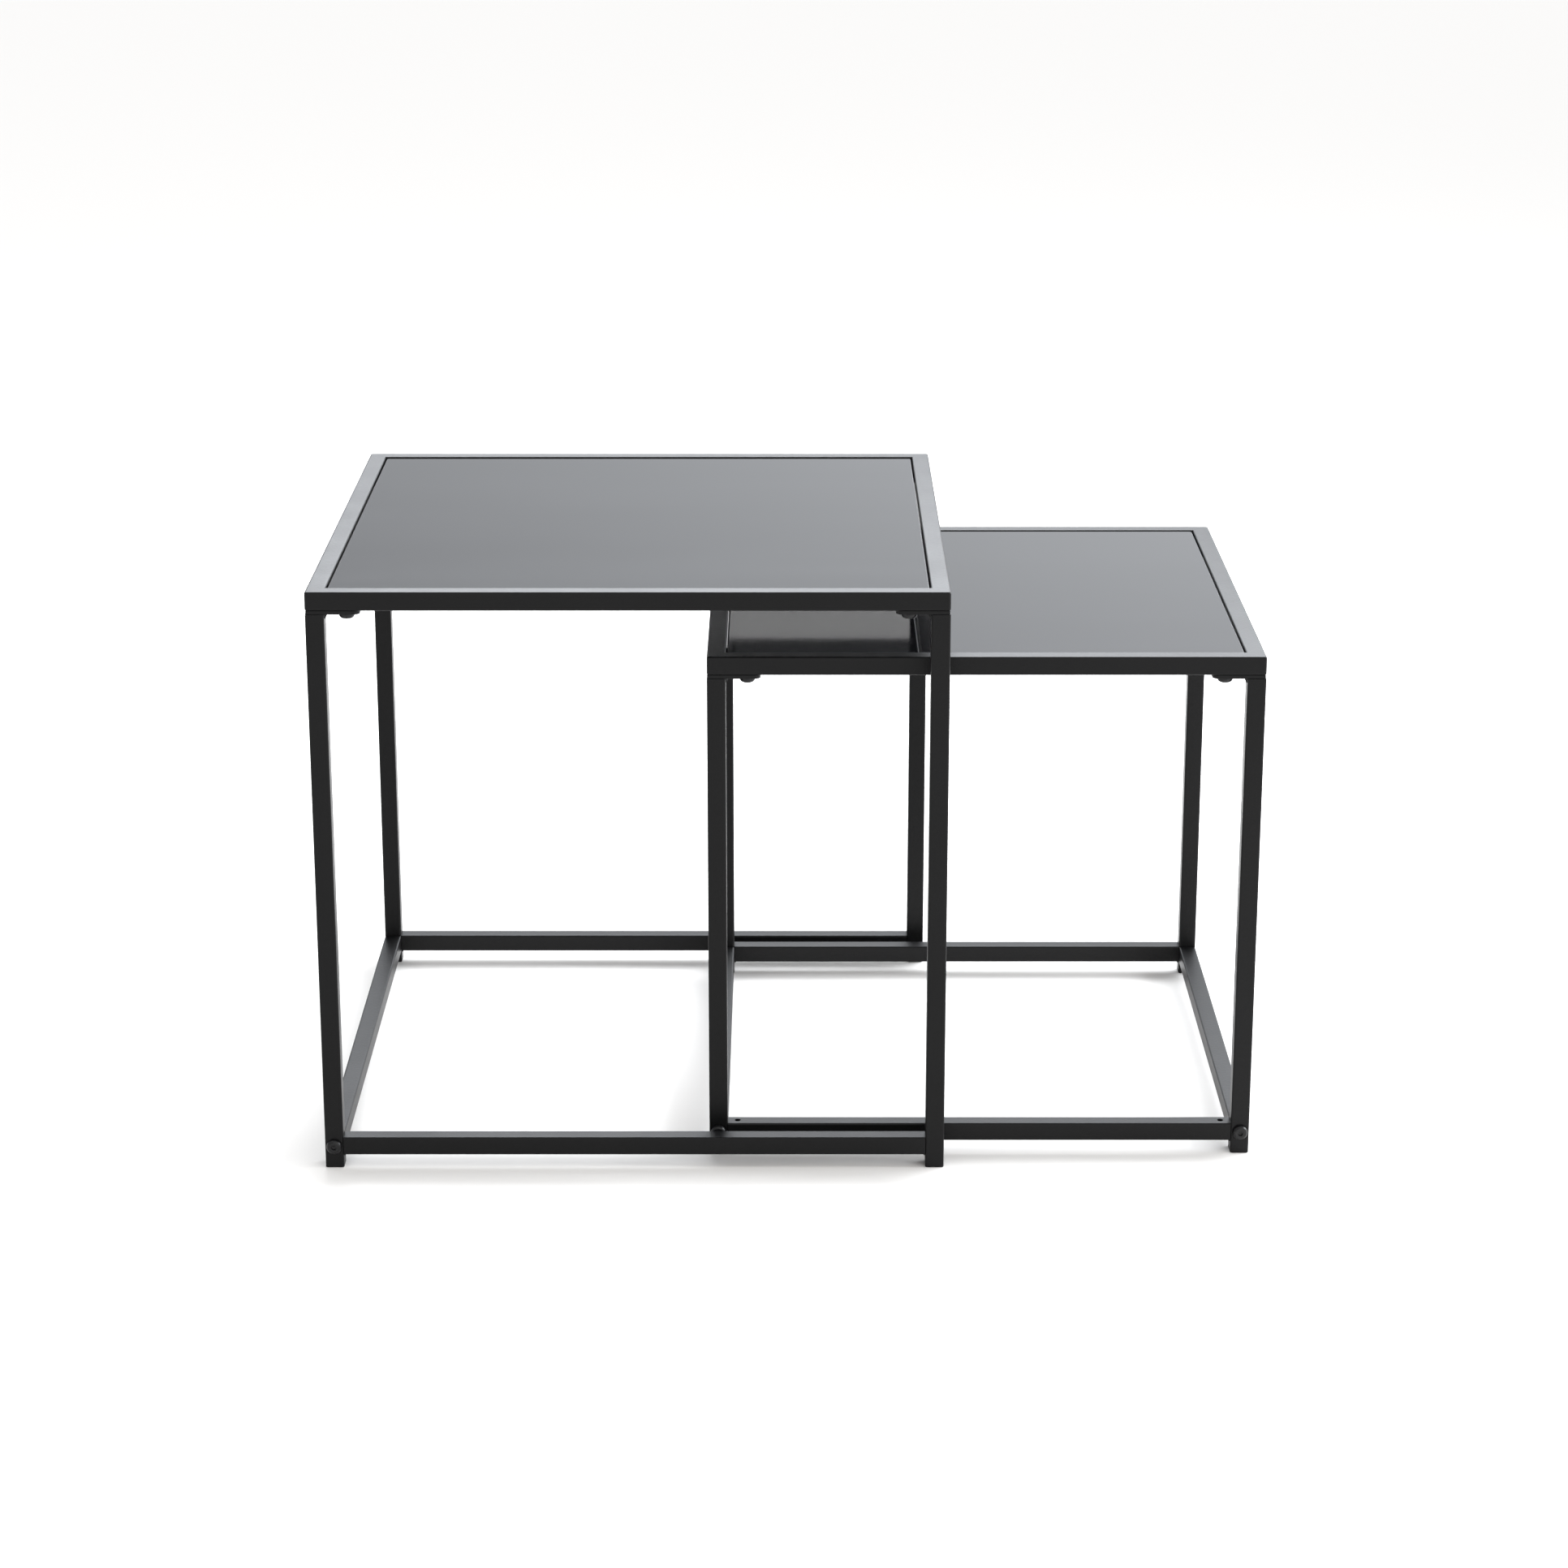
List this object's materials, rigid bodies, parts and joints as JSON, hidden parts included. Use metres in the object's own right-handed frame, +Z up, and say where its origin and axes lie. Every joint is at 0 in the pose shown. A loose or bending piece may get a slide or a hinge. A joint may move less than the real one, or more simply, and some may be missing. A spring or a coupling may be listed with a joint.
{
  "type": "nesting tables",
  "caption": "Square nesting side tables in black steel tube with inset gloss black panels; the smaller slides out sideways from under the larger.",
  "frame": {"origin": "on the floor, at the middle of the ground that both tables cover together with the inner table drawn 250 mm out", "axes": "+X the way the inner table is drawn out, +Y front to back, +Z up"},
  "size_m": [0.75, 0.5078, 0.48],
  "materials": {
    "frame_powder_coat": "satin black powder coat with a fine texture",
    "panel_glass": "opaque black, glossy, with softened edges",
    "foot_plastic": "moulded, fine matt",
    "black_fasteners": "black zinc, low sheen",
    "plated_steel": "zinc plated",
    "pad_rubber": "soft matt"
  },
  "bodies": {
    "outer_table": {"outer_back_left_foot_cap": "foot_plastic", "outer_back_left_leg": "frame_powder_coat", "outer_back_left_leg_plate": "frame_powder_coat", "outer_back_rail": "frame_powder_coat", "outer_back_right_foot_cap": "foot_plastic", "outer_back_right_leg": "frame_powder_coat", "outer_back_right_leg_plate": "frame_powder_coat", "outer_corner_supports": "frame_powder_coat", "outer_frame_inserts": "plated_steel", "outer_front_left_foot_cap": "foot_plastic", "outer_front_left_leg": "frame_powder_coat", "outer_front_left_leg_plate": "frame_powder_coat", "outer_front_rail": "frame_powder_coat", "outer_front_right_foot_cap": "foot_plastic", "outer_front_right_leg": "frame_powder_coat", "outer_front_right_leg_plate": "frame_powder_coat", "outer_left_rail": "frame_powder_coat", "outer_panel_pads": "pad_rubber", "outer_plate_screws": "black_fasteners", "outer_plate_welds": "frame_powder_coat", "outer_rail_bolts": "black_fasteners", "outer_rail_plugs": "plated_steel", "outer_rail_welds": "frame_powder_coat", "outer_top_back_bar": "frame_powder_coat", "outer_top_front_bar": "frame_powder_coat", "outer_top_left_bar": "frame_powder_coat", "outer_top_panel": "panel_glass", "outer_top_right_bar": "frame_powder_coat"},
    "inner_table": {"inner_back_left_foot_cap": "foot_plastic", "inner_back_left_leg": "frame_powder_coat", "inner_back_left_leg_plate": "frame_powder_coat", "inner_back_rail": "frame_powder_coat", "inner_back_right_foot_cap": "foot_plastic", "inner_back_right_leg": "frame_powder_coat", "inner_back_right_leg_plate": "frame_powder_coat", "inner_corner_supports": "frame_powder_coat", "inner_frame_inserts": "plated_steel", "inner_front_left_foot_cap": "foot_plastic", "inner_front_left_leg": "frame_powder_coat", "inner_front_left_leg_plate": "frame_powder_coat", "inner_front_rail": "frame_powder_coat", "inner_front_right_foot_cap": "foot_plastic", "inner_front_right_leg": "frame_powder_coat", "inner_front_right_leg_plate": "frame_powder_coat", "inner_left_rail": "frame_powder_coat", "inner_panel_pads": "pad_rubber", "inner_plate_screws": "black_fasteners", "inner_plate_welds": "frame_powder_coat", "inner_rail_bolts": "black_fasteners", "inner_rail_plugs": "plated_steel", "inner_rail_welds": "frame_powder_coat", "inner_right_rail": "frame_powder_coat", "inner_top_back_bar": "frame_powder_coat", "inner_top_front_bar": "frame_powder_coat", "inner_top_left_bar": "frame_powder_coat", "inner_top_panel": "panel_glass", "inner_top_right_bar": "frame_powder_coat"}
  },
  "joints": [
    {"name": "inner_table_slide", "type": "slide", "parent": "outer_table", "child": "inner_table", "axis": [1, 0, 0], "range_m": [-0.292, 0.2]}
  ]
}
